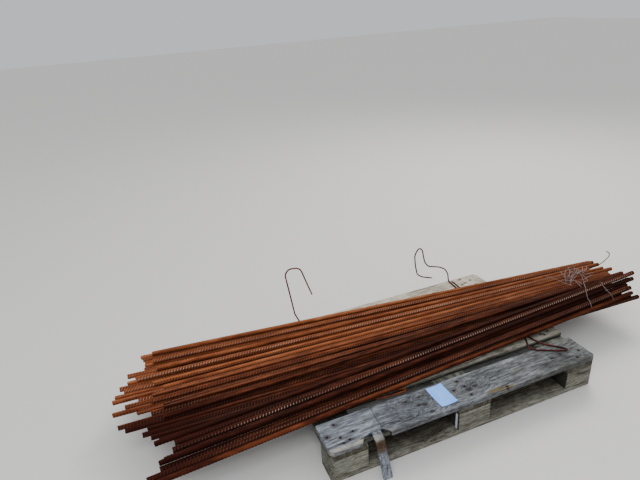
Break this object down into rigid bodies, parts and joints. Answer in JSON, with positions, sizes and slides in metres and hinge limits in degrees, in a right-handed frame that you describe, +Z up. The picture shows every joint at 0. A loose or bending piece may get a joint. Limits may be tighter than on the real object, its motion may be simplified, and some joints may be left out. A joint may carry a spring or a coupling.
{
  "type": "rebar bundle",
  "caption": "Fan-shaped bundle of rusty ribbed reinforcing bars lying across open wire rod ties on a weathered four-way wooden pallet.",
  "frame": {"origin": "middle of the pallet's underside, on the middle bottom board", "axes": "+X along the pallet's long side and the bars, +Y from the near long side to the far one, +Z up"},
  "size_m": [2.5728, 0.9886, 0.4376],
  "materials": {
    "weathered_wood": "weathered grey",
    "rusty_steel": "rusty",
    "tie_wire": "rusty",
    "binding_wire": "dull grey",
    "paper": "matte"
  },
  "bodies": {
    "root": {"deck_board_1": "weathered_wood", "deck_board_2": "weathered_wood", "deck_board_3": "weathered_wood", "deck_board_4": "weathered_wood", "deck_board_5": "weathered_wood", "stringer_left": "weathered_wood", "stringer_middle": "weathered_wood", "stringer_right": "weathered_wood", "block_front_left": "weathered_wood", "block_front_middle": "weathered_wood", "block_front_right": "weathered_wood", "block_middle_left": "weathered_wood", "block_middle_middle": "weathered_wood", "block_middle_right": "weathered_wood", "block_back_left": "weathered_wood", "block_back_middle": "weathered_wood", "block_back_right": "weathered_wood", "bottom_board_front": "weathered_wood", "bottom_board_middle": "weathered_wood", "bottom_board_back": "weathered_wood", "bars_bottom_front": "rusty_steel", "bars_bottom_back": "rusty_steel", "bars_second_back": "rusty_steel", "bars_third_back": "rusty_steel", "bars_second_front": "rusty_steel", "bars_third_front": "rusty_steel", "bars_top": "rusty_steel", "tie_left": "tie_wire", "tie_right": "tie_wire", "binding_wire_strands": "binding_wire", "binding_wire_tail": "tie_wire", "deck_board_splinter": "weathered_wood", "paper_tag": "paper"}
  },
  "joints": []
}
